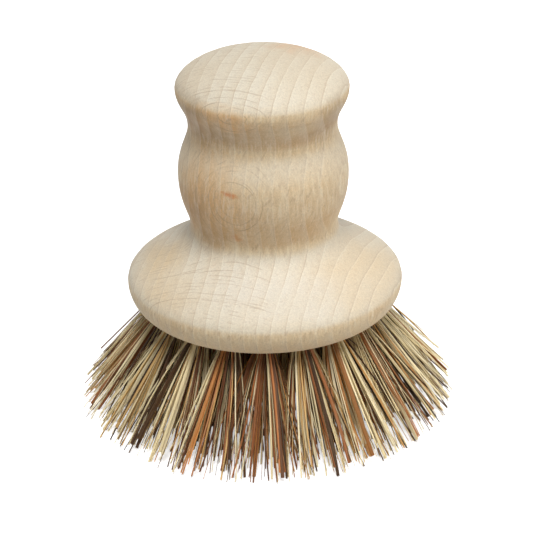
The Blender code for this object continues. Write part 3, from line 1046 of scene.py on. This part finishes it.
def carried_value(tree, name):
    """A number that the points of the mesh carry."""
    return place_node(tree, "Attribute", attribute_name=name).outputs["Fac"]


def build_fibre():
    """Stiff plant fibre in the mixed colours of this brush."""
    material, shader = new_material("mixed_plant_fibre", {"Specular IOR Level": 0.22})
    tree = material.node_tree
    streaks = mapped(place_node(tree, "UVMap", uv_map="streaks").outputs["UV"], scale=(4.5, 0.1, 1))
    fine = times(centred(noise_node(streaks, 1.0, detail=3.0, roughness=0.7)), 2.6)
    colour = ramp_node(carried_value(tree, "tone"), FIBRE_COLOURS)
    colour = tinted(colour, times(fine, -1.0, clamp=True), DARK_STREAK)
    colour = mix_colour(times(fine, 0.5, clamp=True), colour, PALE_FIBRE)
    # Painted shade: darker towards the root, where the bundle lies deep in shade under the rim.
    root_shade = minus(1.0, times(carried_value(tree, "length"), 2.4), clamp=True)
    colour = tinted(colour, root_shade, PAINTED_ROOT_SHADE)
    set_lightness(shader, colour, carried_value(tree, "shade"))
    feed(shader.inputs["Roughness"], plus(times(fine, 0.15), 0.5))
    set_bump(shader, fine, 0.35, 0.1 * MM)
    return material


fibre = build_fibre()
for name, tuft in tufts.items():
    tuft.data.materials.append(fibre)
    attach(tuft, "root")
    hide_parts(f"tuft_{name}")
print("material:", fibre.name, len(fibre.node_tree.nodes), "nodes")


# %% [markdown]
# The anchors are flat steel wire, cut to length. They are small and true in the measured model already, so
# they stay as they are and only get their finish: drawn steel, clean and brighter in some places and dulled
# by oxide in others.

# %% The steel material
def build_steel():
    """Drawn flat wire, slightly dulled."""
    material, shader = new_material("drawn_steel_wire", {"Metallic": 1.0})
    position = place_node(material.node_tree, "TexCoord").outputs["Object"]
    dull = noise_node(position, 900, detail=3.0)
    colour = ramp_node(dull, [(0.35, (0.62, 0.62, 0.63)), (0.7, (0.42, 0.40, 0.38))])
    feed(shader.inputs["Base Color"], colour)
    feed(shader.inputs["Roughness"], plus(times(dull, 0.3), 0.2))
    return material


steel = build_steel()
for name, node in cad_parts.items():
    if name.startswith("anchor_"):
        node.data.materials.clear()
        node.data.materials.append(steel)
print("anchors:", sum(name.startswith("anchor_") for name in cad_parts))


# %% [markdown]
# The photograph is taken from a little above, from 0.6 m away, with a long lens, against white. The camera
# stands there and looks at a point close to the axis. The brush leans a hair in the picture, so the camera
# is rolled by less than a degree.

# %% The camera
CAMERA_DISTANCE = 0.6
CAMERA_HEIGHT_ANGLE = math.radians(25)
CAMERA_TARGET = Vector((0.0004, 0, 0.03325))
CAMERA_ROLL = math.radians(0.87)
# The camera stands at its distance from this point on the axis.
VIEW_CENTRE = Vector((0, 0, 0.0427))
LENS = 172.2
SENSOR_WIDTH = 36


def set_camera():
    """The camera of the photograph."""
    data = bpy.data.cameras.new("camera")
    data.sensor_width = SENSOR_WIDTH
    data.lens = LENS
    camera = add_object("camera", data)
    back = Vector((0, -math.cos(CAMERA_HEIGHT_ANGLE), math.sin(CAMERA_HEIGHT_ANGLE)))
    camera.location = VIEW_CENTRE + CAMERA_DISTANCE * back
    look = (CAMERA_TARGET - camera.location).to_track_quat("-Z", "Y").to_matrix()
    camera.rotation_euler = (look @ Matrix.Rotation(-CAMERA_ROLL, 3, "Z")).to_euler()
    bpy.context.scene.camera = camera
    return camera


camera = set_camera()
print("camera at", [round(v, 3) for v in camera.location], "lens", camera.data.lens)


# %% [markdown]
# The light is that of a product table: five square soft lamps that stand 2.4 m away. The strongest are
# overhead and in front, one stands at the front on the right, a weaker one on the left, and a low one on
# the right lights the side of the base. The surroundings are white, but only the camera, reflections and
# glass see them. The floor is white card, which takes the brush's soft shadow. The same rays see it as
# brighter than it is, so it blends into the white behind it.

# %% Floor, world and lamps
# Each lamp: degrees round from the front towards the right, degrees up, and its power in watts.
LAMPS = {
    "overhead_lamp": (0, 74, 23.0),
    "left_lamp": (-45, 74, 8.8),
    "front_lamp": (0, 58, 15.2),
    "key_lamp": (45, 58, 11.5),
    "right_lamp": (90, 15, 13.0),
}
LAMP_SIDE = 0.6
LAMP_DISTANCE = 2.4
LIT_POINT = Vector((0, 0, 0.05))
# The card's grey as it shows and as it throws light back, and how much it glows where it shows.
FLOOR_COLOUR = 0.9
FLOOR_BOUNCE = 0.75
FLOOR_GLOW = 0.55
FLOOR_SIDE = 4
FLOOR_HEIGHT = -0.1 * MM


def add_lamp(name, turn, rise, watts):
    """A square soft lamp that faces the brush."""
    data = bpy.data.lights.new(name, "AREA")
    data.size = LAMP_SIDE
    data.energy = watts
    lamp = add_object(name, data)
    turn, rise = math.radians(turn), math.radians(rise)
    towards = Vector((math.sin(turn) * math.cos(rise), -math.cos(turn) * math.cos(rise), math.sin(rise)))
    lamp.location = LIT_POINT + LAMP_DISTANCE * towards
    lamp.rotation_euler = towards.to_track_quat("Z", "Y").to_euler()


def background_rays(tree):
    """1 for the rays that show the background: those of the camera, of reflections and of glass."""
    rays = place_node(tree, "LightPath").outputs
    shown = math_node("MAXIMUM", rays["Is Camera Ray"], rays["Is Glossy Ray"])
    return math_node("MAXIMUM", shown, rays["Is Transmission Ray"])


def set_world():
    """Surroundings that show pure white, and light nothing but reflections."""
    world = bpy.data.worlds.new("white_room")
    bpy.context.scene.world = world
    world.use_nodes = True
    background = world.node_tree.nodes["Background"]
    feed(background.inputs["Color"], (1, 1, 1, 1))
    feed(background.inputs["Strength"], background_rays(world.node_tree))


def set_floor():
    """A white card under the bristle tips."""
    start_clean()
    bpy.ops.mesh.primitive_plane_add(size=FLOOR_SIDE, location=(0, 0, FLOOR_HEIGHT))
    floor = bpy.context.object
    floor.name = "white_card"
    finish = {"Roughness": 0.9, "Specular IOR Level": 0.1, "Emission Color": (1, 1, 1, 1)}
    material, shader = new_material("white_card", finish)
    shown = background_rays(material.node_tree)
    card = mix_colour(shown, (FLOOR_BOUNCE,) * 3, (FLOOR_COLOUR,) * 3)
    feed(shader.inputs["Base Color"], card)
    feed(shader.inputs["Emission Strength"], times(shown, FLOOR_GLOW))
    floor.data.materials.append(material)


set_world()
set_floor()
for name, settings in LAMPS.items():
    add_lamp(name, *settings)
bpy.context.scene.view_settings.view_transform = "Standard"
print("lamps:", [light.name for light in bpy.data.lights])
